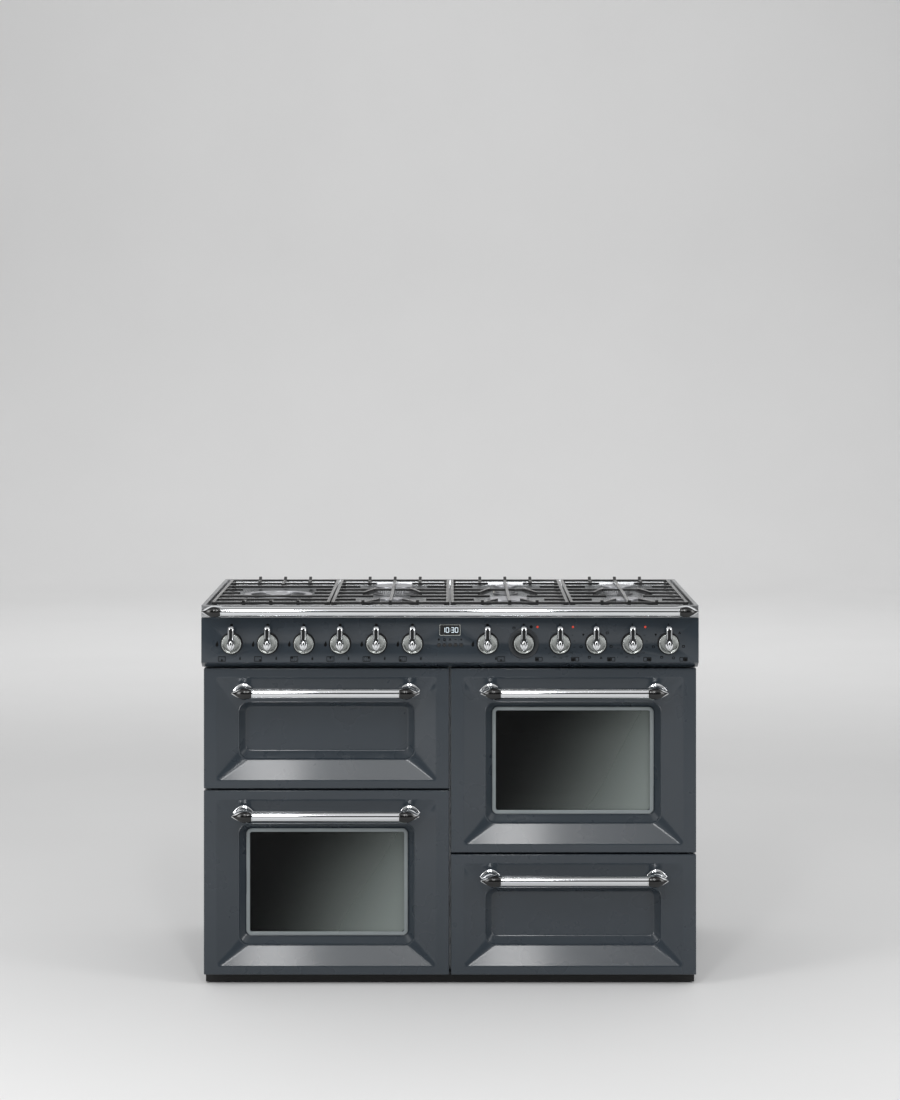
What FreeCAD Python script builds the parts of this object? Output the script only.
import FreeCAD, Part

# A free-standing range cooker, 1100 mm wide: seven gas burners over a grill, two ovens and a drawer.
# Millimetres. +X is to the cook's right, +Y to the back and +Z up. The floor is z = 0, and the origin
# lies under the middle of the whole cooker.
import math
import os

Vector = FreeCAD.Vector

# ------------------------------------------------------------------ the whole cooker
hob_width = 1100.0          # hob and control panel
carcass_inset = 3.0         # side panels inside the hob's edges
door_to_back = 600.0        # door faces to the hob's rear edge
sheet = 2.0                 # every folded or pressed steel sheet
slip = 0.3                  # room between pieces that slide or lie beside each other
running = 0.05              # radial room of a pin or shaft in its bore
past = 5.0                  # how far a cutting shape runs past what it cuts

# ------------------------------------------------------------------ doors
doors_bottom = 25.0
tall_door_height = 409.5
short_door_height = 267.3
door_gap = 4.0
door_width = hob_width / 2 - carcass_inset - door_gap / 2
shell_depth = 46.0          # pressed front, face to rear flange
shell_edge_radius = 3.0
shell_flange = 40.0         # width of the flange folded in behind the front
border_side = 28.0          # flat border round the pressed recess
border_bottom = 18.5
border_top = 20.5
border_radius = 9.0
lip_side = 77.0             # lip where the slopes end
lip_bottom = 62.0
lip_top = 78.0
lip_radius = 22.0
lip_depth = 20.0
moat_side = 15.0            # second, steeper step inside the lip
moat_bottom = 18.0
moat_top = 12.0
moat_radius = 12.0
moat_depth = 16.0
trim_width = 8.0            # raised frame round a window
trim_rise = 2.5
pane_thickness = 4.0
pane_lap = 12.0             # outer pane behind the window's edge
inner_pane_inset = 10.0
inner_pane_bottom = 17.0    # clears the hinge arms
liner_thickness = 3.0
carcass_setback = 54.0      # door faces to the front frame

# ------------------------------------------------------------------ door hinges
hinge_depth = 7.5           # hinge axis behind the door face
hinge_rise = 10.0           # hinge axis above the door's bottom edge
hinge_inset = 42.0          # hinge arms from the door's sides
hinge_arm_width = 6.0
hinge_arm_radius = 4.5
hinge_side_room = 1.5
hinge_notch_room = 0.5
hinge_pin_radius = 2.5
hinge_flange_thickness = 3.0
hinge_flange_width = 22.0
cheek_thickness = 3.0
cheek_depth = 20.0
cheek_height = 14.0

# ------------------------------------------------------------------ door handles
handle_drop = 50.0          # bar below the door's top edge
handle_reach = 45.0         # bar in front of the door face
handle_bar_radius = 11.8
handle_bar_wall = 1.5
handle_bar_margin = 112.0   # bar's ends from the door's sides
handle_end_length = 48.0
handle_end_radius = 14.5
finial_belly = 0.38         # where a pointed end is thickest, as a part of its length
handle_base_height = 36.0
handle_base_sink = 2.0      # base plate's face behind the door face
handle_stem_height = 20.0
handle_stem_margin = 7.0

# ------------------------------------------------------------------ control panel
fascia_gap = 3.5
fascia_height = 110.7
fascia_proud = 25.0         # in front of the doors
fascia_chamfer = 12.5
last_knob_margin = 67.0     # last knob's axis from the panel's end
knobs_each_side = 6
first_knob_x = 83.0
knob_height = 54.7          # knob axes above the panel's lower edge
clock_width = 47.3
clock_height = 25.4
clock_rise = 84.4           # clock's middle above the panel's lower edge
clock_frame = 1.2
clock_housing_depth = 18.0
clock_housing_border = 3.0
button_count = 5
button_pitch = 12.3
button_rise = 51.1          # buttons above the panel's lower edge
button_radius = 3.8
button_proud = 1.6
button_travel = 1.0
button_length = 8.0

# ------------------------------------------------------------------ knobs
bezel_radius = 24.5
big_bezel_radius = 33.5
big_bezel_knob = 8
bezel_thickness = 3.0
bezel_bore = 8.0
knob_radius = 22.0
knob_disc_thickness = 9.0
knob_disc_chamfer = 2.0
knob_gap = 1.0              # knob disc in front of its bezel
lever_tip = 40.0            # lever's reach above the knob's axis
lever_tip_radius = 7.2
lever_waist = 6.9
lever_hip = 7.6             # half width where the waist meets the belly
lever_hip_height = 10.0
lever_belly = 8.2
lever_belly_drop = 2.5
lever_tail = 15.0
lever_thickness = 14.0
lever_chamfer = 3.0
spindle_radius = 3.0
spindle_hole_radius = 6.5
spindle_grip = 12.0         # spindle inside its tap or switch
gas_knobs = 7

# ------------------------------------------------------------------ taps, switches and gas rail
tap_radius = 10.0
tap_length = 40.0
gas_pipe_radius = 8.0
gas_pipe_margin = 50.0      # feed pipe from the hob's left edge
inlet_thread_radius = 10.478
inlet_length = 20.0
switch_width = 38.0
switch_depth = 34.0
bush_radius = 8.0
bush_length = 8.0

# ------------------------------------------------------------------ hob
hob_seam = 1.0              # between hob and control panel
skirt_height = 27.0
rim_width = 8.0
rim_slope = 5.0
hob_sink = 20.0             # hob floor below the rim
hob_corner_radius = 16.0
well_gap = 49.0             # between two wells
well_sink = 5.0
well_slope = 6.0
well_radius = 40.0
well_front = 92.0           # wells behind the panel's face
well_rear_margin = 47.0
zone_count = 4
zone_margin = 16.0          # outer pan supports' places from the hob's edges

# ------------------------------------------------------------------ burners: zone, distance behind the panel, cap
wok_burner = 0              # this one has an outer ring of flames
burner_spots = (
    (0, 324.0, 30.0),
    (1, 514.0, 49.0),
    (1, 210.0, 27.0),
    (2, 514.0, 26.0),
    (2, 210.0, 47.5),
    (3, 514.0, 36.0),
    (3, 210.0, 32.0),
)
flange_thickness = 3.0
flange_over_cap = 4.0
crown_under_cap = 3.0
crown_height = 12.5
cap_thickness = 5.0
cap_chamfer = 1.5
barrel_under_cap = 9.0
barrel_length = 22.0
barrel_room = 2.0
electrode_radius = 1.5
wok_ring_outer = 80.0
wok_ring_inner = 64.0
wok_ring_height = 13.0
wok_cap_thickness = 3.0

# ------------------------------------------------------------------ pan supports
grate_gap = 3.0
grate_front = 54.5          # behind the panel's face
grate_rear_margin = 31.5    # in front of the hob's rear edge
grate_proud = 2.0           # bar tops above the hob's rim
bar_height = 5.0            # cross bars
finger_height = 10.0        # side bars and fingers
bar_width = 7.0
cross_bars = 8
bar_reach = 42.0            # half the gap in a bar beside a burner
open_radius = 110.0         # the other bars stop outside this circle
wok_open_radius = 94.0
low_radius = 58.0           # fingers are shallow inside this circle
finger_spread = 61.0
finger_length = 46.0
slant_start = 66.0          # slanting fingers, from the middle
slant_end = 40.0
front_slant_end = 28.0
slant_past = 28.0           # beyond the bar that they cross
slant_bar = 3               # the rear burner's slanting fingers start at this bar
wok_finger = 110.0
tip_length = 14.0
tip_rise = 7.0
front_tip_rise = 4.0
grate_foot_radius = 5.0

# ------------------------------------------------------------------ front rail
rail_radius = 11.0
rail_wall = 1.5
rail_margin = 47.0          # tube's ends from the hob's edges
rail_reach = 30.0           # rail axis in front of the panel
rail_drop = 11.0            # rail axis below the hob's rim
cap_length = 45.0
cap_radius = 14.0
cap_arm_height = 20.0
cap_arm_width = 30.0

# ------------------------------------------------------------------ ovens
cavity_margin = 52.5        # cavity's side walls from the door's side edges
oven_height = 320.0
grill_height = 180.0
cavity_rear_space = 82.0    # cavity to the back panel, for the fan motors
oven_mouth_rise = 45.0      # mouth above the door's bottom edge
grill_mouth_rise = 46.0
jacket_thickness = 20.0
seal_inset = 8.0
seal_width = 8.0
seal_radius = 6.0
left_rack_rise = 299.0      # racks above their door's bottom edge
right_rack_rise = 253.5
grill_rack_rise = 90.0
rack_wire_radius = 1.75
rack_frame_radius = 2.5
rack_wire_margin = 24.0     # outer wires from the cavity's sides
rack_wires = 15
rack_front = 6.0            # rack behind the cavity's mouth
rack_rear_gap = 52.0        # behind the rack, for the fan's cover
rack_sink = 1.25            # weld of a wire into the frame
rack_over = 3.5             # rods and wires past the ones that they cross
ladder_wall_gap = 10.0
ladder_radius = 2.0
ladder_steps = 4
ladder_margin = 50.0
ladder_wall_foot = 4.0
element_radius = 3.5
element_drop = 18.0         # element below the cavity's top
element_pitch = 90.0
element_legs = 4
element_front = 60.0
fan_cover_size = 220.0
fan_cover_depth = 34.0
fan_slot_count = 7
fan_slot_width = 6.0
fan_slot_length = 110.0
fan_radius = 75.0
fan_disc_thickness = 2.0
fan_blades = 12
blade_depth = 12.0
blade_length = 26.0
fan_hub_radius = 12.0
fan_hub_length = 16.0
fan_wall_gap = 8.0
motor_radius = 36.0
motor_length = 50.0
motor_shaft_radius = 4.0
motor_shaft_hole = 7.0

# ------------------------------------------------------------------ carcass
panel_thickness = 2.0
back_recess = 32.0          # back panel in front of the hob's rear edge
side_rear_margin = 2.0
side_return = 20.0
frame_thickness = 2.0       # chassis plates
frame_top_rise = 7.0        # front plate above the control panel's lower edge
divider_thickness = 3.0
post_width = 12.0
top_bar_height = 6.0
top_bar_width = 24.0
top_bar_depth = 10.0
drawer_mouth_margin = 15.0
vent_slots = 9
vent_pitch = 40.0
vent_width = 8.0
vent_height = 60.0
vent_top_drop = 90.0        # foot of the upper vents below the control panel
vent_rise = 45.0            # foot of the lower vents above the carcass's lower edge
restraint_margin = 40.0     # wall fixings from the hob's edges
restraint_hole_radius = 3.25
restraint_drop = 25.0
gland_margin = 70.0         # mains inlet from the hob's right edge
gland_outer_radius = 16.0
gland_bore_radius = 10.5
gland_length = 18.0
plinth_setback = 30.0
plinth_clearance = 3.0
plinth_rear_gap = 6.0       # in front of the back panel
plinth_flange = 50.0
foot_side_inset = 16.0      # feet from the inner face of the side panels
foot_inset = 46.0
foot_radius = 13.5
foot_pad_height = 10.0
foot_stem_radius = 6.0
foot_stem_top = 85.0
foot_boss_radius = 8.0
foot_boss_height = 18.0

# ------------------------------------------------------------------ drawer
drawer_box_margin = 27.5    # box's sides from the front's
drawer_box_height = 180.0
drawer_rear_gap = 20.0      # in front of the back panel
drawer_box_rise = 23.0      # box floor above the front's bottom edge
slide_rise = 82.0           # slide lips above the box's floor
slide_lip_width = 7.0
slide_lip_height = 4.0
runner_arm = 8.0
runner_height = 24.0

# ------------------------------------------------------------------ places worked out from the sizes
front_reach = fascia_proud + rail_reach + cap_radius
door_y = (front_reach - door_to_back) / 2
back_y = door_y + door_to_back
fascia_y = door_y - fascia_proud
frame_y = door_y + carcass_setback
cavity_y = frame_y + frame_thickness
back_panel_y = back_y - back_recess - panel_thickness
cavity_rear = back_panel_y - cavity_rear_space
rack_depth = cavity_rear - cavity_y - rack_front - rack_rear_gap
plinth_depth = back_panel_y - door_y - plinth_setback - plinth_rear_gap
half_hob = hob_width / 2
half_carcass = half_hob - carcass_inset
inner_half = half_carcass - panel_thickness
foot_x = inner_half - foot_side_inset
cavity_width = door_width - 2 * cavity_margin
rack_wire_pitch = (cavity_width - 2 * rack_wire_margin) / (rack_wires - 1)
handle_bar_length = door_width - 2 * handle_bar_margin
drawer_box_width = door_width - 2 * drawer_box_margin
rail_length = hob_width - 2 * rail_margin
gas_pipe_x = half_hob - gas_pipe_margin
gland_x = half_hob - gland_margin
restraint_x = half_hob - restraint_margin
zone_pitch = (hob_width - 2 * zone_margin) / zone_count
well_width = zone_pitch - well_gap
knob_pitch = (half_hob - first_knob_x - last_knob_margin) / (knobs_each_side - 1)
column_x = (door_width + door_gap) / 2
left_oven_z = doors_bottom
grill_z = left_oven_z + tall_door_height + door_gap
drawer_z = doors_bottom
right_oven_z = drawer_z + short_door_height + door_gap
doors_top = grill_z + short_door_height
fascia_bottom = doors_top + fascia_gap
fascia_top = fascia_bottom + fascia_height
skirt_bottom = fascia_top + hob_seam
rim_z = skirt_bottom + skirt_height
hob_floor = rim_z - hob_sink
well_floor = hob_floor - well_sink
grate_top = rim_z + grate_proud
knob_z = fascia_bottom + knob_height
clock_z = fascia_bottom + clock_rise
button_z = fascia_bottom + button_rise
recess_floor = lip_depth + moat_depth
knob_xs = []
for step in range(knobs_each_side):
    reach = first_knob_x + step * knob_pitch
    knob_xs += [-reach, reach]
knob_xs.sort()
zone_xs = [(zone - (zone_count - 1) / 2) * zone_pitch for zone in range(zone_count)]


# ------------------------------------------------------------------ shape helpers
def block(x0, x1, y0, y1, z0, z1):
    """Box between two corners."""
    return Part.makeBox(x1 - x0, y1 - y0, z1 - z0, Vector(x0, y0, z0))


def rod(radius, start, end):
    """Round bar between two points."""
    base = Vector(*start)
    return Part.makeCylinder(radius, (Vector(*end) - base).Length, base, Vector(*end) - base)


def tube(outer, inner, start, end):
    """Round tube between two points."""
    return rod(outer, start, end).cut(rod(inner, start, end))


def joined(shapes):
    """One solid from pieces that touch or overlap."""
    whole = shapes[0].fuse(shapes[1:]) if len(shapes) > 1 else shapes[0]
    return whole.removeSplitter()


def mirrored(shape):
    """The same piece on the other side of x = 0."""
    return shape.mirror(Vector(0, 0, 0), Vector(1, 0, 0))


def rounded(u0, u1, v0, v1, radius, place):
    """Closed rounded rectangle; place(u, v) puts a point of it in space."""
    centres = ((u1 - radius, v0 + radius), (u1 - radius, v1 - radius),
               (u0 + radius, v1 - radius), (u0 + radius, v0 + radius))
    last = place(u0 + radius, v0)
    edges = []
    for quarter, (cu, cv) in enumerate(centres):
        turns = [math.radians(90 * quarter + extra) for extra in (-90, -45, 0)]
        start, middle, end = [place(cu + radius * math.cos(turn), cv + radius * math.sin(turn))
                              for turn in turns]
        edges.append(Part.LineSegment(last, start).toShape())
        edges.append(Part.Arc(start, middle, end).toShape())
        last = end
    return Part.Wire(edges)


def upright(half_width, low, high, radius, y):
    """Rounded rectangle that faces the front, centred on x = 0."""
    return rounded(-half_width, half_width, low, high, radius, lambda u, v: Vector(u, y, v))


def level(x0, x1, y0, y1, radius, z):
    """Rounded rectangle that lies flat."""
    return rounded(x0, x1, y0, y1, radius, lambda u, v: Vector(u, v, z))


def lens(x0, x1, half_height, y, z):
    """Pointed almond outline that faces the front, between x0 and x1."""
    middle = (x0 + x1) / 2
    upper = Part.Arc(Vector(x0, y, z), Vector(middle, y, z + half_height), Vector(x1, y, z))
    lower = Part.Arc(Vector(x1, y, z), Vector(middle, y, z - half_height), Vector(x0, y, z))
    return Part.Wire([upper.toShape(), lower.toShape()])


def plate(wire, push):
    """Solid from a flat outline, pushed along a vector."""
    return Part.Face(wire).extrude(Vector(*push))


def finial(x0, length, root_radius, belly_radius, y, z):
    """Pointed end cap turned about a line along x, from x0 outwards."""
    root = Vector(x0, y, z + root_radius)
    belly = Vector(x0 + finial_belly * length, y, z + belly_radius)
    point = Vector(x0 + length, y, z)
    centre = Vector(x0, y, z)
    edges = [Part.Arc(root, belly, point).toShape(), Part.LineSegment(point, centre).toShape(),
             Part.LineSegment(centre, root).toShape()]
    return Part.Face(Part.Wire(edges)).revolve(centre, Vector(1, 0, 0), 360)


def front_edges(shape, y):
    """Edges that lie wholly at depth y."""
    return [edge for edge in shape.Edges
            if abs(edge.BoundBox.YMin - y) < 1e-3 and abs(edge.BoundBox.YMax - y) < 1e-3]


def write(node, shapes):
    """One STEP file for a node; a list stays separate solids."""
    whole = Part.makeCompound(shapes) if isinstance(shapes, list) else shapes
    whole.exportStep("parts/" + node + ".step")
    print(node, len(whole.Solids), "solids", round(whole.Volume / 1000, 1), "cm3", whole.isValid())


os.makedirs("parts", exist_ok=True)


# ------------------------------------------------------------------ pressed door and drawer fronts
def recess(height, grow):
    """The pressed recess: slopes to the lip, then a steeper step; grown for the sheet's far side."""
    half = door_width / 2
    side, low, high = border_side, border_bottom, height - border_top
    border = upright(half - side + grow, low - grow, high + grow, border_radius + grow, grow)
    side, low, high = lip_side, lip_bottom, height - lip_top
    lip = upright(half - side + grow, low - grow, high + grow, lip_radius + grow, lip_depth + grow)
    side, low, high = side + moat_side, low + moat_bottom, high - moat_top
    floor = upright(half - side + grow, low - grow, high + grow, moat_radius + grow,
                    recess_floor + grow)
    return Part.makeLoft([border, lip, floor], True, True)


def window_outline(height, inset, y):
    """The window's outline, drawn in from the edge of the recess's floor."""
    half = door_width / 2 - lip_side - moat_side - inset
    low = lip_bottom + moat_bottom + inset
    high = height - lip_top - moat_top - inset
    return upright(half, low, high, moat_radius - min(inset, trim_width) / 2, y)


def solid_front(height):
    """The front as a full slab with its recess, before it is hollowed."""
    half = door_width / 2
    slab = block(-half, half, 0, shell_depth, 0, height)
    slab = slab.makeFillet(shell_edge_radius, front_edges(slab, 0))
    return slab.cut(recess(height, 0))


hinge_xs = (-(door_width / 2 - hinge_inset), door_width / 2 - hinge_inset)


def pressed_front(height, window, hinged):
    """Pressed sheet with folded sides and a rear flange, in its own place: face at y = 0."""
    half = door_width / 2 - sheet
    hollow = block(-half, half, sheet, shell_depth - sheet, sheet, height - sheet)
    hollow = hollow.cut(recess(height, sheet))
    rim = sheet + shell_flange
    back_opening = block(rim - door_width / 2, door_width / 2 - rim, shell_depth - sheet - past,
                         shell_depth + past, rim, height - rim).cut(recess(height, sheet))
    shell = solid_front(height).cut([hollow, back_opening])
    if window:
        raised = plate(window_outline(height, 0, recess_floor - trim_rise), (0, trim_rise, 0))
        aperture = plate(window_outline(height, trim_width, recess_floor - trim_rise - past),
                         (0, trim_rise + sheet + 2 * past, 0))
        shell = shell.fuse(raised).cut(aperture)
    if hinged:
        for x in hinge_xs:
            outward = 1 if x > 0 else -1
            reach = hinge_arm_width / 2 + hinge_side_room
            notch = block(x - reach, x + reach, hinge_depth - hinge_arm_radius - hinge_notch_room,
                          shell_depth + past, -past,
                          hinge_rise + hinge_arm_radius + hinge_notch_room)
            ends = sorted((x + outward * reach, x + outward * (reach + cheek_thickness)))
            cheek = block(ends[0], ends[1], sheet, sheet + cheek_depth, sheet, sheet + cheek_height)
            bore = rod(hinge_pin_radius + running, (ends[0] - past, hinge_depth, hinge_rise),
                       (ends[1] + past, hinge_depth, hinge_rise))
            shell = shell.cut(notch).fuse(cheek).cut(bore)
    return shell.removeSplitter()


def panes(height):
    """The two sheets of glass of an oven door: behind the window and over the whole back."""
    outer = plate(window_outline(height, trim_width - pane_lap, recess_floor + sheet),
                  (0, pane_thickness, 0))
    half = door_width / 2 - inner_pane_inset
    inner = block(-half, half, shell_depth, shell_depth + pane_thickness, inner_pane_bottom,
                  height - inner_pane_inset)
    return [outer, inner]


def liner(height):
    """The enamelled inner panel of the grill door."""
    half = door_width / 2 - inner_pane_inset
    return block(-half, half, shell_depth, shell_depth + liner_thickness, inner_pane_bottom,
                 height - inner_pane_inset)


def handle_bar(height):
    """The handle's chromed tube."""
    z = height - handle_drop
    reach = handle_bar_length / 2
    return tube(handle_bar_radius, handle_bar_radius - handle_bar_wall, (-reach, -handle_reach, z),
                (reach, -handle_reach, z))


def handle_ends(height):
    """Two pointed ends with a stem and an almond base plate that sits on the recess's slope."""
    z = height - handle_drop
    x0 = handle_bar_length / 2
    x1 = x0 + handle_end_length
    tip = finial(x0, handle_end_length, handle_bar_radius + slip, handle_end_radius, -handle_reach, z)
    stem = plate(lens(x0 + handle_stem_margin, x1 - handle_stem_margin, handle_stem_height / 2,
                      -handle_reach, z), (0, handle_reach + shell_depth, 0))
    base = plate(lens(x0, x1, handle_base_height / 2, handle_base_sink, z),
                 (0, shell_depth - handle_base_sink, 0))
    behind = block(0, half_hob, recess_floor, shell_depth + past, 0, height)
    right = joined([tip, stem, base]).cut([solid_front(height), behind])
    return [right, mirrored(right)]


def placed(shapes, x, z):
    """Moves pieces of a front to its place on the cooker."""
    moved = []
    for shape in shapes:
        copy = shape.copy()
        copy.translate(Vector(x, door_y, z))
        moved.append(copy)
    return moved


for name, x, z in (("left_oven", -column_x, left_oven_z), ("right_oven", column_x, right_oven_z)):
    write(name + "_door_shell", placed([pressed_front(tall_door_height, True, True)], x, z)[0])
    write(name + "_door_glass", placed(panes(tall_door_height), x, z))
    write(name + "_handle_bar", placed([handle_bar(tall_door_height)], x, z)[0])
    write(name + "_handle_ends", placed(handle_ends(tall_door_height), x, z))

grill_pieces = [pressed_front(short_door_height, False, True), liner(short_door_height)]
write("grill_door_shell", placed(grill_pieces, -column_x, grill_z))
write("grill_handle_bar", placed([handle_bar(short_door_height)], -column_x, grill_z)[0])
write("grill_handle_ends", placed(handle_ends(short_door_height), -column_x, grill_z))

write("drawer_front", placed([pressed_front(short_door_height, False, False)], column_x, drawer_z)[0])
write("drawer_handle_bar", placed([handle_bar(short_door_height)], column_x, drawer_z)[0])
write("drawer_handle_ends", placed(handle_ends(short_door_height), column_x, drawer_z))


# ------------------------------------------------------------------ hinge arms, fixed to the front frame
def hinge_arm(x, outward, z):
    """Arm with a rounded end, a side pin and a flange against the front frame."""
    axis_y = door_y + hinge_depth
    axis_z = z + hinge_rise
    half = hinge_arm_width / 2
    nose = rod(hinge_arm_radius, (x - half, axis_y, axis_z), (x + half, axis_y, axis_z))
    bar = block(x - half, x + half, axis_y, frame_y, axis_z - hinge_arm_radius,
                axis_z + hinge_arm_radius)
    pin_reach = half + hinge_side_room + cheek_thickness + hinge_notch_room
    pin = rod(hinge_pin_radius, (x, axis_y, axis_z), (x + outward * pin_reach, axis_y, axis_z))
    flange = block(x - hinge_flange_width / 2, x + hinge_flange_width / 2,
                   frame_y - hinge_flange_thickness, frame_y, z, axis_z + hinge_arm_radius)
    return joined([bar, nose, pin, flange])


arms = []
for x, z in ((-column_x, left_oven_z), (column_x, right_oven_z), (-column_x, grill_z)):
    for offset in hinge_xs:
        arms.append(hinge_arm(x + offset, 1 if offset > 0 else -1, z))
write("door_hinges", arms)

# ------------------------------------------------------------------ control panel
fascia_profile = ((fascia_y, fascia_top), (fascia_y, fascia_bottom + fascia_chamfer),
                  (door_y, fascia_bottom), (frame_y, fascia_bottom), (frame_y, fascia_top))
hollow_profile = ((fascia_y + sheet, fascia_top - sheet),
                  (fascia_y + sheet, fascia_bottom + fascia_chamfer + sheet / 2),
                  (door_y + sheet / 2, fascia_bottom + sheet), (frame_y + past, fascia_bottom + sheet),
                  (frame_y + past, fascia_top - sheet))


def extruded_profile(points, half_width):
    """Bar along x with the given (y, z) outline."""
    corners = [Vector(-half_width, y, z) for y, z in points]
    return plate(Part.makePolygon(corners + corners[:1]), (2 * half_width, 0, 0))


fascia = extruded_profile(fascia_profile, half_hob).cut(
    extruded_profile(hollow_profile, half_hob - sheet))
fascia_holes = [rod(spindle_hole_radius, (x, fascia_y - past, knob_z), (x, fascia_y + past, knob_z))
                for x in knob_xs]
button_xs = [(step - (button_count - 1) / 2) * button_pitch for step in range(button_count)]
fascia_holes += [rod(button_radius + slip, (x, fascia_y - past, button_z),
                     (x, fascia_y + past, button_z)) for x in button_xs]
fascia_holes.append(block(clock_housing_border - clock_width / 2, clock_width / 2 - clock_housing_border,
                          fascia_y - past, fascia_y + past,
                          clock_z - clock_height / 2 + clock_housing_border,
                          clock_z + clock_height / 2 - clock_housing_border))
write("control_panel", fascia.cut(fascia_holes))

# ------------------------------------------------------------------ clock and its push buttons
button_board_y = fascia_y - button_proud + button_length + button_travel + slip
housing_half = clock_width / 2 - clock_housing_border - slip
housing_low = clock_z - clock_height / 2 + clock_housing_border + slip
housing_high = clock_z + clock_height / 2 - clock_housing_border - slip
clock_face = plate(upright(clock_width / 2, clock_z - clock_height / 2, clock_z + clock_height / 2,
                           clock_housing_border, fascia_y - clock_frame), (0, clock_frame, 0))
clock_housing = block(-housing_half, housing_half, fascia_y, fascia_y + clock_housing_depth,
                      housing_low, housing_high)
button_board = block(-housing_half - button_pitch / 2, housing_half + button_pitch / 2, button_board_y,
                     button_board_y + sheet, button_z - 2 * button_radius, housing_low + sheet)
write("clock_display", joined([clock_face, clock_housing, button_board]))
for number, x in enumerate(button_xs, 1):
    cap = rod(button_radius, (x, fascia_y - button_proud, button_z),
              (x, fascia_y - button_proud + button_length, button_z))
    write("clock_button_%d" % number, cap)

# ------------------------------------------------------------------ knobs and the rings behind them
knob_back = fascia_y - bezel_thickness - knob_gap
knob_face = knob_back - knob_disc_thickness
rings = []
for number, x in enumerate(knob_xs, 1):
    outer = big_bezel_radius if number == big_bezel_knob else bezel_radius
    rings.append(tube(outer, bezel_bore, (x, fascia_y - bezel_thickness, knob_z),
                      (x, fascia_y, knob_z)))
write("knob_bezels", rings)


def lever_outline(y, inset):
    """Front outline of the lever: round tip, slim waist, full belly and a pointed tail."""
    tip_radius = lever_tip_radius - inset
    tip_z = lever_tip - lever_tip_radius
    shoulder = Vector(tip_radius, y, tip_z)
    hip = Vector(lever_hip - inset, y, lever_hip_height)
    tail = Vector(0, y, 2 * inset - lever_tail)
    waist = Vector(lever_waist - inset, y, (tip_z + hip.z) / 2)
    belly = Vector(lever_belly - inset, y, -lever_belly_drop)
    right = [Part.Arc(shoulder, waist, hip).toShape(), Part.Arc(hip, belly, tail).toShape()]
    left = [mirrored(edge) for edge in right]
    tip = Part.Arc(Vector(-tip_radius, y, tip_z), Vector(0, y, tip_z + tip_radius), shoulder).toShape()
    return Part.Wire(Part.__sortEdges__([tip] + right + left))


def knob():
    """Disc, lever and spindle about a line along y, in the middle of the panel's face."""
    disc = rod(knob_radius, (0, knob_back, 0), (0, knob_face, 0))
    disc = disc.makeChamfer(knob_disc_chamfer, front_edges(disc, knob_face))
    lever_face = knob_face - lever_thickness
    lever_edge = lever_face + lever_chamfer
    crown = Part.makeLoft([lever_outline(lever_face, lever_chamfer), lever_outline(lever_edge, 0)],
                          True, True)
    lever = plate(lever_outline(lever_edge, 0), (0, knob_face - lever_edge + knob_disc_thickness / 2, 0))
    spindle_end = fascia_y + sheet + spindle_grip
    spindle = rod(spindle_radius, (0, knob_back - knob_disc_thickness / 2, 0), (0, spindle_end, 0))
    return joined([disc, lever, crown, spindle])


one_knob = knob()
for number, x in enumerate(knob_xs, 1):
    turned = one_knob.copy()
    turned.translate(Vector(x, 0, knob_z))
    write("knob_%d" % number, turned)

# ------------------------------------------------------------------ gas rail with its taps, and the switches
tap_front = fascia_y + sheet
tap_rear = tap_front + tap_length
pipe_y = tap_rear + gas_pipe_radius / 2
bore_length = spindle_grip + sheet
pipe_end = knob_xs[gas_knobs - 1] + 3 * tap_radius
inlet_y = back_panel_y + panel_thickness
gas_parts = [rod(gas_pipe_radius, (-gas_pipe_x, pipe_y, knob_z), (pipe_end, pipe_y, knob_z)),
             Part.makeSphere(gas_pipe_radius, Vector(-gas_pipe_x, pipe_y, knob_z)),
             rod(gas_pipe_radius, (-gas_pipe_x, pipe_y, knob_z), (-gas_pipe_x, inlet_y + past, knob_z)),
             rod(inlet_thread_radius, (-gas_pipe_x, inlet_y, knob_z),
                 (-gas_pipe_x, inlet_y + inlet_length, knob_z))]
gas_bores = []
for x in knob_xs[:gas_knobs]:
    gas_parts.append(rod(tap_radius, (x, tap_front, knob_z), (x, tap_rear, knob_z)))
    gas_bores.append(rod(spindle_radius + running, (x, tap_front - past, knob_z),
                         (x, tap_front + bore_length, knob_z)))
write("gas_rail", joined(gas_parts).cut(gas_bores))

switches = []
for x in knob_xs[gas_knobs:]:
    bush = rod(bush_radius, (x, tap_front, knob_z), (x, tap_front + bush_length + past, knob_z))
    case = block(x - switch_width / 2, x + switch_width / 2, tap_front + bush_length,
                 tap_front + bush_length + switch_depth, knob_z - switch_width / 2,
                 knob_z + switch_width / 2)
    bore = rod(spindle_radius + running, (x, tap_front - past, knob_z),
               (x, tap_front + bore_length, knob_z))
    switches.append(joined([bush, case]).cut(bore))
write("oven_controls", switches)


# ------------------------------------------------------------------ hob
def hob_recess(grow):
    """The sunken floor inside the rim; grown for the sheet's far side."""
    rim = rim_width - grow
    top = level(rim - half_hob, half_hob - rim, fascia_y + rim, back_y - rim,
                hob_corner_radius + grow, rim_z - grow)
    rim += rim_slope
    low = level(rim - half_hob, half_hob - rim, fascia_y + rim, back_y - rim,
                hob_corner_radius + grow, hob_floor - grow)
    return Part.makeLoft([top, low], True, True)


def hob_well(x, grow):
    """One pressed well under a pan support."""
    half = well_width / 2 + grow
    front, rear = fascia_y + well_front - grow, back_y - well_rear_margin + grow
    top = level(x - half, x + half, front, rear, well_radius + grow, hob_floor - grow)
    half -= well_slope
    low = level(x - half, x + half, front + well_slope, rear - well_slope, well_radius + grow,
                well_floor - grow)
    return Part.makeLoft([top, low], True, True)


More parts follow.
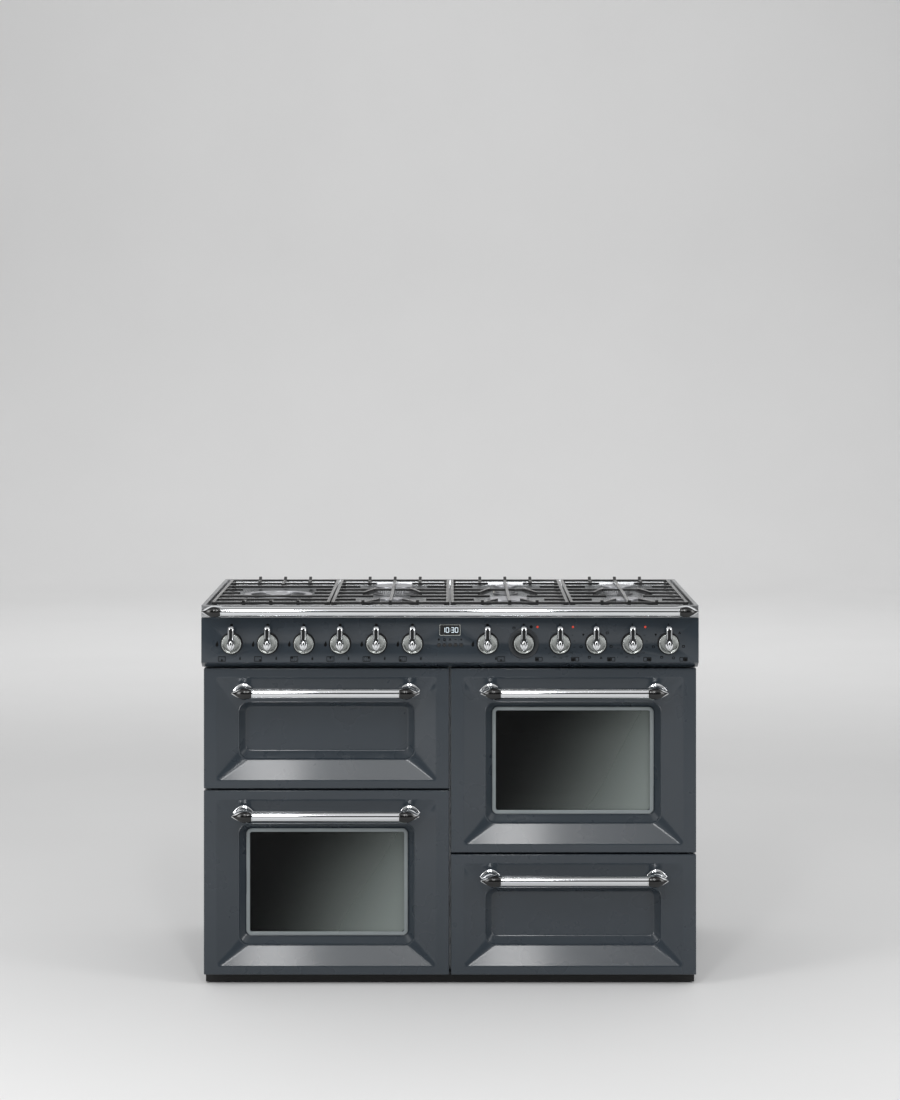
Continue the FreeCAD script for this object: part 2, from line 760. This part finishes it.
def burner_places():
    """Centre and cap radius of each burner."""
    return [(zone_xs[zone], fascia_y + distance, cap) for zone, distance, cap in burner_spots]


hob = block(-half_hob, half_hob, fascia_y, back_y, skirt_bottom, rim_z)
hob_hollow = block(sheet - half_hob, half_hob - sheet, fascia_y + sheet, back_y - sheet,
                   skirt_bottom - past, rim_z - sheet)
hob_hollow = hob_hollow.cut([hob_recess(sheet)] + [hob_well(x, sheet) for x in zone_xs])
hob_cuts = [hob_hollow, hob_recess(0)] + [hob_well(x, 0) for x in zone_xs]
for x, y, cap in burner_places():
    hob_cuts.append(rod(cap - barrel_under_cap + barrel_room, (x, y, well_floor - past),
                        (x, y, hob_floor + past)))
write("hob_top", hob.cut(hob_cuts))

# ------------------------------------------------------------------ burners
bodies = []
caps = []
for number, (x, y, cap) in enumerate(burner_places()):
    wok = number == wok_burner
    flange_top = well_floor + flange_thickness
    crown_top = flange_top + crown_height
    flange_radius = (wok_ring_outer if wok else cap) + flange_over_cap
    parts = [rod(cap - barrel_under_cap, (x, y, flange_top - barrel_length), (x, y, flange_top)),
             rod(flange_radius, (x, y, well_floor), (x, y, flange_top)),
             rod(cap - crown_under_cap, (x, y, well_floor), (x, y, crown_top)),
             rod(electrode_radius, (x - cap - flange_over_cap / 2, y, well_floor),
                 (x - cap - flange_over_cap / 2, y, crown_top - cap_chamfer))]
    if wok:
        ring_top = flange_top + wok_ring_height
        parts.append(tube(wok_ring_outer - crown_under_cap, wok_ring_inner + crown_under_cap,
                          (x, y, well_floor), (x, y, ring_top)))
        caps.append(tube(wok_ring_outer, wok_ring_inner, (x, y, ring_top),
                         (x, y, ring_top + wok_cap_thickness)))
    bodies.append(joined(parts))
    lid = rod(cap, (x, y, crown_top), (x, y, crown_top + cap_thickness))
    top_edge = [edge for edge in lid.Edges if edge.BoundBox.ZMin > crown_top + cap_thickness / 2]
    caps.append(lid.makeChamfer(cap_chamfer, top_edge))
write("burner_bodies", bodies)
write("burner_caps", caps)


# ------------------------------------------------------------------ cast iron pan supports
def level_bar(x0, y0, x1, y1, height):
    """Bar between two points of the grid, with its top level with the others."""
    along = Vector(x1 - x0, y1 - y0, 0)
    across = Vector(-along.y, along.x, 0).normalize() * (bar_width / 2)
    low = grate_top - height
    start, end = Vector(x0, y0, low), Vector(x1, y1, low)
    outline = [start - across, end - across, end + across, start + across]
    return plate(Part.makePolygon(outline + outline[:1]), (0, 0, height))


def raised_tip(x, y, inward, rise):
    """Point that stands over a bar at y and slopes down inwards."""
    half = bar_width / 2
    outer = y - inward * half
    corners = [Vector(x - half, outer, grate_top - half), Vector(x - half, outer, grate_top + rise),
               Vector(x - half, outer + inward * half, grate_top + rise),
               Vector(x - half, outer + inward * tip_length, grate_top),
               Vector(x - half, outer + inward * tip_length, grate_top - half)]
    return plate(Part.makePolygon(corners + corners[:1]), (bar_width, 0, 0))


def pan_support(zone):
    """Side bars, cross bars broken round the burners, and fingers that reach in from them."""
    x = zone_xs[zone]
    half = (zone_pitch - grate_gap - bar_width) / 2
    front, rear = fascia_y + grate_front + bar_width / 2, back_y - grate_rear_margin - bar_width / 2
    pitch = (rear - front) / (cross_bars - 1)
    burners = [by for bx, by, cap in burner_places() if bx == x]
    wok = zone == burner_spots[wok_burner][0]
    parts = []
    for step in range(cross_bars):
        bar_y = front + step * pitch
        nearest = min(abs(bar_y - by) for by in burners)
        whole = step in (0, cross_bars - 1) or nearest >= (wok_open_radius if wok else open_radius)
        if whole:
            parts.append(level_bar(x - half, bar_y, x + half, bar_y, bar_height))
            continue
        beside = nearest < bar_width and not wok
        reach = wok_open_radius if wok else open_radius
        gap = bar_reach if beside else math.sqrt(reach ** 2 - nearest ** 2)
        if step == slant_bar and not wok:
            gap = slant_start
        for side in (-1, 1):
            parts.append(level_bar(x + side * half, bar_y, x + side * gap, bar_y, bar_height))
    for side in (-1, 1):
        edge = x + side * half
        parts.append(level_bar(edge, front - bar_width / 2, edge, rear + bar_width / 2, finger_height))
        for foot_y in (front + bar_width / 2, rear - bar_width / 2):
            parts.append(rod(grate_foot_radius, (edge - side * bar_width / 2, foot_y, hob_floor),
                             (edge - side * bar_width / 2, foot_y, grate_top - bar_height)))
        finger_x = x + side * finger_spread
        parts.append(level_bar(finger_x, rear, finger_x, rear - finger_length, finger_height))
        if wok:
            parts.append(level_bar(finger_x, front, finger_x, front + finger_length, finger_height))
        else:
            parts.append(level_bar(finger_x, front, x + side * front_slant_end, front + pitch,
                                   finger_height))
            slant_y = front + slant_bar * pitch
            parts.append(level_bar(x + side * slant_start, slant_y, x + side * slant_end,
                                   slant_y + pitch + slant_past, finger_height))
    if wok:
        parts += [level_bar(x, front, x, front + finger_length, finger_height),
                  level_bar(x, rear, x, rear - wok_finger, finger_height)]
    else:
        spine = level_bar(x, front, x, rear, finger_height)
        shallow = [rod(low_radius, (x, by, grate_top - finger_height - past), (x, by, grate_top - bar_height))
                   for by in burners]
        parts.append(spine.cut(shallow))
    for tip_x in (x - finger_spread, x, x + finger_spread):
        parts += [raised_tip(tip_x, front, 1, front_tip_rise), raised_tip(tip_x, rear, -1, tip_rise)]
    return joined(parts).removeSplitter()


for zone in range(zone_count):
    write("pan_support_%d" % (zone + 1), pan_support(zone))

# ------------------------------------------------------------------ front rail and its end caps
rail_y = fascia_y - rail_reach
rail_z = rim_z - rail_drop
write("front_rail", tube(rail_radius, rail_radius - rail_wall, (-rail_length / 2, rail_y, rail_z),
                         (rail_length / 2, rail_y, rail_z)))
cap_tip = finial(rail_length / 2, cap_length, rail_radius + slip, cap_radius, rail_y, rail_z)
arm_x = rail_length / 2 + slip
cap_arm = plate(upright(cap_arm_width / 2, rail_z - cap_arm_height / 2, rail_z + cap_arm_height / 2,
                        cap_arm_height / 4, rail_y), (0, rail_reach, 0))
cap_arm.translate(Vector(arm_x + cap_arm_width / 2, 0, 0))
rail_cap = joined([cap_tip, cap_arm])
write("rail_end_caps", [rail_cap, mirrored(rail_cap)])

# ------------------------------------------------------------------ chassis
mouths = ((-column_x, left_oven_z + oven_mouth_rise, oven_height),
          (column_x, right_oven_z + oven_mouth_rise, oven_height),
          (-column_x, grill_z + grill_mouth_rise, grill_height))
drawer_floor = drawer_z + drawer_box_rise
plate_top = fascia_bottom + frame_top_rise
half_divider = divider_thickness / 2
front_plate = block(-inner_half, inner_half, frame_y, cavity_y, doors_bottom, plate_top)
mouth_cuts = [block(x - cavity_width / 2, x + cavity_width / 2, frame_y - past, cavity_y + past, z,
                    z + height) for x, z, height in mouths]
half_drawer = drawer_box_width / 2
mouth_cuts.append(block(column_x - half_drawer - slide_lip_width - 2 * slip,
                        column_x + half_drawer + slide_lip_width + 2 * slip, frame_y - past,
                        cavity_y + past, drawer_floor - drawer_mouth_margin,
                        drawer_floor + drawer_box_height + drawer_mouth_margin))
floor_plate = block(-inner_half, inner_half, frame_y, back_panel_y, doors_bottom,
                    doors_bottom + frame_thickness)
divider = block(-half_divider, half_divider, frame_y, back_panel_y, doors_bottom, plate_top)
top_z = hob_floor - sheet
post_sides = (-inner_half, inner_half - post_width)
chassis_parts = [front_plate.cut(mouth_cuts), floor_plate, divider]
for x in post_sides:
    for y in (frame_y, back_panel_y - post_width):
        chassis_parts.append(block(x, x + post_width, y, y + post_width, doors_bottom, top_z))
for x in (-inner_half, inner_half - top_bar_width):
    chassis_parts.append(block(x, x + top_bar_width, frame_y, back_panel_y, top_z - top_bar_height,
                               top_z))
for y in (frame_y, back_panel_y - top_bar_depth):
    chassis_parts.append(block(-inner_half, inner_half, y, y + top_bar_depth, top_z - top_bar_height,
                               top_z))
foot_places = [(x, y) for x in (-foot_x, foot_x)
               for y in (frame_y + foot_inset, back_panel_y - foot_inset)]
foot_bores = []
for x, y in foot_places:
    boss_top = doors_bottom + frame_thickness + foot_boss_height
    chassis_parts.append(rod(foot_boss_radius, (x, y, doors_bottom), (x, y, boss_top)))
    foot_bores.append(rod(foot_stem_radius + running, (x, y, doors_bottom - past),
                          (x, y, boss_top + past)))
write("chassis", joined(chassis_parts).cut(foot_bores))

feet = []
for x, y in foot_places:
    feet.append(joined([rod(foot_radius, (x, y, 0), (x, y, foot_pad_height)),
                        rod(foot_stem_radius, (x, y, 0), (x, y, foot_stem_top))]))
write("levelling_feet", feet)

# ------------------------------------------------------------------ plinth, side panels and back panel
plinth_y = door_y + plinth_setback
plinth_parts = [block(-inner_half, inner_half, plinth_y, plinth_y + sheet,
                      plinth_clearance, doors_bottom),
                block(-inner_half, inner_half, plinth_y, plinth_y + plinth_flange,
                      doors_bottom - sheet, doors_bottom)]
for x in (-inner_half, inner_half - sheet):
    plinth_parts.append(block(x, x + sheet, plinth_y, plinth_y + plinth_depth, plinth_clearance,
                              doors_bottom))
write("plinth", joined(plinth_parts))

side_rear = back_y - side_rear_margin
side = joined([block(inner_half, half_carcass, frame_y, side_rear, doors_bottom, fascia_top),
               block(inner_half - side_return, half_carcass, side_rear - panel_thickness, side_rear,
                     doors_bottom, fascia_top)])
write("side_panels", [mirrored(side), side])

back_plate = block(-inner_half, inner_half, back_panel_y, back_panel_y + panel_thickness, doors_bottom,
                   fascia_top)
gland = rod(gland_outer_radius, (gland_x, back_panel_y, knob_z),
            (gland_x, back_panel_y + panel_thickness + gland_length, knob_z))
back_cuts = [rod(gland_bore_radius, (gland_x, back_panel_y - past, knob_z),
                 (gland_x, back_panel_y + gland_length + 2 * past, knob_z)),
             rod(gas_pipe_radius + slip, (-gas_pipe_x, back_panel_y - past, knob_z),
                 (-gas_pipe_x, back_panel_y + past, knob_z))]
for x in (-restraint_x, restraint_x):
    back_cuts.append(rod(restraint_hole_radius, (x, back_panel_y - past, fascia_top - restraint_drop),
                         (x, back_panel_y + past, fascia_top - restraint_drop)))
for low in (fascia_bottom - vent_top_drop, doors_bottom + vent_rise):
    for step in range(vent_slots):
        x = (step - (vent_slots - 1) / 2) * vent_pitch
        back_cuts.append(block(x - vent_width / 2, x + vent_width / 2, back_panel_y - past,
                               back_panel_y + past, low, low + vent_height))
write("back_panel", joined([back_plate, gland]).cut(back_cuts))


# ------------------------------------------------------------------ oven and grill cavities, jackets and seals
def cavity(x, z, height):
    """Enamelled box, open to the front."""
    half = cavity_width / 2
    shell = block(x - half - sheet, x + half + sheet, cavity_y, cavity_rear + sheet, z - sheet,
                  z + height + sheet)
    return shell.cut(block(x - half, x + half, cavity_y - past, cavity_rear, z, z + height))


def jacket(x, z, height):
    """Mineral wool round the sides, top, bottom and back of a cavity."""
    half = cavity_width / 2 + sheet
    thick = jacket_thickness
    outer = block(x - half - thick, x + half + thick, cavity_y, cavity_rear + sheet + thick,
                  z - sheet - thick, z + height + sheet + thick)
    return outer.cut(block(x - half, x + half, cavity_y - past, cavity_rear + sheet, z - sheet,
                           z + height + sheet))


def seal(x, z, height):
    """Flat ring of the door seal round a mouth, just short of the closed door."""
    outer_half = cavity_width / 2 + seal_inset + seal_width
    inner_half_width = cavity_width / 2 + seal_inset
    depth = carcass_setback - shell_depth - pane_thickness - slip
    outer = plate(upright(outer_half, z - seal_inset - seal_width,
                          z + height + seal_inset + seal_width, seal_radius + seal_width,
                          frame_y - depth), (0, depth, 0))
    inner = plate(upright(inner_half_width, z - seal_inset, z + height + seal_inset, seal_radius,
                          frame_y - depth - past), (0, depth + 2 * past, 0))
    ring = outer.cut(inner)
    ring.translate(Vector(x, 0, 0))
    return ring


oven_middles = [(mouths[0][0], mouths[0][1] + oven_height / 2),
                (mouths[1][0], mouths[1][1] + oven_height / 2)]
motor_holes = [rod(motor_shaft_hole, (x, cavity_rear - past, z), (x, cavity_rear + past, z))
               for x, z in oven_middles]
write("oven_cavities", [cavity(*mouth).cut(motor_holes) for mouth in mouths])
motor_wells = [rod(motor_radius + slip, (x, cavity_rear, z),
                   (x, cavity_rear + jacket_thickness + 2 * past, z)) for x, z in oven_middles]
write("oven_insulation", [jacket(*mouth).cut(motor_wells) for mouth in mouths])
write("door_seals", [seal(*mouth) for mouth in mouths])


# ------------------------------------------------------------------ heating elements, fan motors and covers
def element(x, z, height):
    """Bent rod under a cavity's top: legs from the back wall joined by half turns."""
    z_rod = z + height - element_drop
    turn = element_pitch / 2
    front, back = cavity_y + element_front + turn, cavity_rear
    xs = [x + (leg - (element_legs - 1) / 2) * element_pitch for leg in range(element_legs)]
    rear_turn = back - fan_cover_depth - turn
    edges = []
    y_now, going_front = back, True
    for leg, leg_x in enumerate(xs):
        last_leg = leg == element_legs - 1
        y_next = front if going_front else (back if last_leg else rear_turn)
        edges.append(Part.LineSegment(Vector(leg_x, y_now, z_rod), Vector(leg_x, y_next, z_rod)).toShape())
        if not last_leg:
            bulge = -turn if going_front else turn
            edges.append(Part.Arc(Vector(leg_x, y_next, z_rod),
                                  Vector(leg_x + turn, y_next + bulge, z_rod),
                                  Vector(leg_x + element_pitch, y_next, z_rod)).toShape())
        y_now, going_front = y_next, not going_front
    section = Part.Wire(Part.makeCircle(element_radius, Vector(xs[0], back, z_rod), Vector(0, -1, 0)))
    return Part.Wire(edges).makePipeShell([section], True, False)


def fan_cover(x, z):
    """Slotted box over a fan, on the cavity's back wall."""
    half = fan_cover_size / 2
    front = cavity_rear - fan_cover_depth
    cover = block(x - half, x + half, front, cavity_rear, z - half, z + half)
    cuts = [block(x - half + sheet, x + half - sheet, front + sheet, cavity_rear + past,
                  z - half + sheet, z + half - sheet)]
    for slot in range(fan_slot_count):
        offset = (slot - (fan_slot_count - 1) / 2) * 3 * fan_slot_width
        cuts.append(block(x + offset - fan_slot_width / 2, x + offset + fan_slot_width / 2, front - past,
                          front + sheet + past / 2, z - fan_slot_length / 2, z + fan_slot_length / 2))
    return cover.cut(cuts)


fan_rear = cavity_rear - fan_wall_gap
hardware = [element(*mouth) for mouth in mouths]
for x, z in oven_middles:
    hardware.append(fan_cover(x, z))
    hardware.append(joined([rod(motor_radius, (x, cavity_rear + sheet, z),
                                (x, cavity_rear + sheet + motor_length, z)),
                            rod(motor_shaft_radius, (x, fan_rear - fan_hub_length + sheet, z),
                                (x, cavity_rear + sheet + past, z))]))
write("heaters_and_motors", hardware)


def fan(x, z):
    """Hub, disc and straight blades on the motor's shaft."""
    hub_front = fan_rear - fan_hub_length
    disc_front = fan_rear - fan_disc_thickness
    parts = [rod(fan_hub_radius, (x, hub_front, z), (x, fan_rear, z)),
             rod(fan_radius, (x, disc_front, z), (x, fan_rear, z))]
    for blade in range(fan_blades):
        vane = block(fan_radius - blade_length, fan_radius, disc_front - blade_depth, fan_rear,
                     -fan_disc_thickness / 2, fan_disc_thickness / 2)
        vane.rotate(Vector(0, 0, 0), Vector(0, 1, 0), 360 / fan_blades * blade)
        vane.translate(Vector(x, 0, z))
        parts.append(vane)
    bore = rod(motor_shaft_radius + running, (x, hub_front + sheet - running, z), (x, fan_rear + past, z))
    return joined(parts).cut(bore)


for name, (x, z) in zip(("left_oven_fan", "right_oven_fan"), oven_middles):
    write(name, fan(x, z))


# ------------------------------------------------------------------ racks and the ladders that hold them
def ladders(x, z, height, rack_z):
    """Two wire ladders on a cavity's side walls; one of the steps carries the rack."""
    rail_x = cavity_width / 2 - ladder_wall_gap
    front, rear = cavity_y + rack_front + ladder_margin / 2, cavity_y + rack_depth - ladder_margin / 2
    pitch = (height - 2 * ladder_margin) / (ladder_steps - 1)
    step_zs = [z + ladder_margin + pitch * step for step in range(ladder_steps)]
    carried = rack_z - rack_frame_radius - ladder_radius - slip / 2
    nearest = min(range(ladder_steps), key=lambda step: abs(step_zs[step] - carried))
    step_zs[nearest] = carried
    pair = []
    for side in (-1, 1):
        bar_x = x + side * rail_x
        wall_x = x + side * cavity_width / 2
        parts = []
        for y in (front, rear):
            parts.append(rod(ladder_radius, (bar_x, y, min(step_zs) - ladder_margin / 2),
                             (bar_x, y, max(step_zs) + ladder_margin / 4)))
            for foot_z in (min(step_zs) - ladder_wall_foot, max(step_zs) + ladder_wall_foot):
                parts.append(rod(ladder_radius, (bar_x, y, foot_z), (wall_x, y, foot_z)))
        for step_z in step_zs:
            parts.append(rod(ladder_radius, (bar_x, front - ladder_margin / 4, step_z),
                             (bar_x, rear + ladder_margin / 4, step_z)))
        pair.append(joined(parts))
    return pair


def rack(x, rack_z):
    """Wire shelf: a rod frame with front-to-back wires welded on top."""
    half = cavity_width / 2 - ladder_wall_gap - slip
    front, rear = cavity_y + rack_front, cavity_y + rack_front + rack_depth
    cross_z = rack_z + rack_frame_radius
    parts = [rod(rack_frame_radius, (x - half - rack_over, y, cross_z), (x + half + rack_over, y, cross_z))
             for y in (front, rear)]
    for side in (-1, 1):
        parts.append(rod(rack_frame_radius, (x + side * half, front - rack_over, rack_z),
                         (x + side * half, rear + rack_over, rack_z)))
    wire_z = cross_z + rack_frame_radius + rack_wire_radius - rack_sink
    for wire in range(rack_wires):
        wire_x = x + (wire - (rack_wires - 1) / 2) * rack_wire_pitch
        parts.append(rod(rack_wire_radius, (wire_x, front - rack_over, wire_z),
                         (wire_x, rear + rack_over, wire_z)))
    return joined(parts)


shelving = []
for (x, z, height), rise, front_z in zip(mouths, (left_rack_rise, right_rack_rise, grill_rack_rise),
                                         (left_oven_z, right_oven_z, grill_z)):
    shelving.append(rack(x, front_z + rise))
    shelving += ladders(x, z, height, front_z + rise)
write("oven_shelving", shelving)

# ------------------------------------------------------------------ drawer box and its runners
box_front = door_y + shell_depth
box_rear = back_panel_y - drawer_rear_gap
slide_z = drawer_floor + slide_rise
drawer_shell = block(column_x - half_drawer, column_x + half_drawer, box_front, box_rear, drawer_floor,
                     drawer_floor + drawer_box_height)
drawer_shell = drawer_shell.cut(block(column_x - half_drawer + sheet, column_x + half_drawer - sheet,
                                      box_front + sheet, box_rear - sheet, drawer_floor + sheet,
                                      drawer_floor + drawer_box_height + past))
lips = []
for side in (-1, 1):
    near = column_x + side * (half_drawer - sheet / 2)
    far = column_x + side * (half_drawer + slide_lip_width)
    lips.append(block(min(near, far), max(near, far), frame_y, box_rear, slide_z - slide_lip_height / 2,
                      slide_z + slide_lip_height / 2))
write("drawer_box", joined([drawer_shell] + lips))

runners = []
for side, support_x in ((-1, half_divider), (1, inner_half)):
    mouth_x = column_x + side * (half_drawer + slip)
    web_x = column_x + side * (half_drawer + slide_lip_width + slip)
    outer_x = web_x + side * sheet
    ends = sorted((mouth_x, outer_x))
    channel = block(ends[0], ends[1], cavity_y, back_panel_y, slide_z - runner_height / 2,
                    slide_z + runner_height / 2)
    groove_ends = sorted((mouth_x - side * past, web_x))
    groove_half = slide_lip_height / 2 + slip
    channel = channel.cut(block(groove_ends[0], groove_ends[1], cavity_y - past, back_panel_y + past,
                                slide_z - groove_half, slide_z + groove_half))
    parts = [channel]
    arm_ends = sorted((outer_x - side * sheet / 2, support_x))
    for y in (cavity_y + runner_height, back_panel_y - 2 * runner_height):
        parts.append(block(arm_ends[0], arm_ends[1], y, y + runner_arm, slide_z - runner_height / 2,
                           slide_z + runner_height / 2))
    runners.append(joined(parts))
write("drawer_runners", runners)
